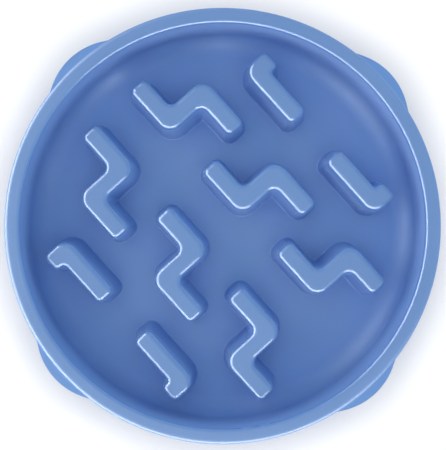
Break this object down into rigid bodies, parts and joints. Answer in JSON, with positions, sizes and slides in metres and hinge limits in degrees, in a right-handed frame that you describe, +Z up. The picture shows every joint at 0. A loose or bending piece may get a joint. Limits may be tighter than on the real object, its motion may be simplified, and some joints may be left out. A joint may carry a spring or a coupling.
{
  "type": "slow feeder bowl",
  "caption": "Round pet feeding bowl with a maze of tall zigzag and hooked ridges that slows eating, rounded foot lobes round the rim and push-in non-slip rubber feet.",
  "frame": {"origin": "on the ground, under the centre of the round rim", "axes": "+Z up out of the bowl; the ridges run along X and Y, and the foot lobes point along +X, +Y, -X and -Y"},
  "size_m": [0.2552, 0.2552, 0.05],
  "materials": {
    "blue_plastic": "satin",
    "foot_rubber": "matte"
  },
  "bodies": {
    "root": {"bowl": "blue_plastic", "foot_x_plus": "foot_rubber", "foot_y_plus": "foot_rubber", "foot_x_minus": "foot_rubber", "foot_y_minus": "foot_rubber"}
  },
  "joints": []
}
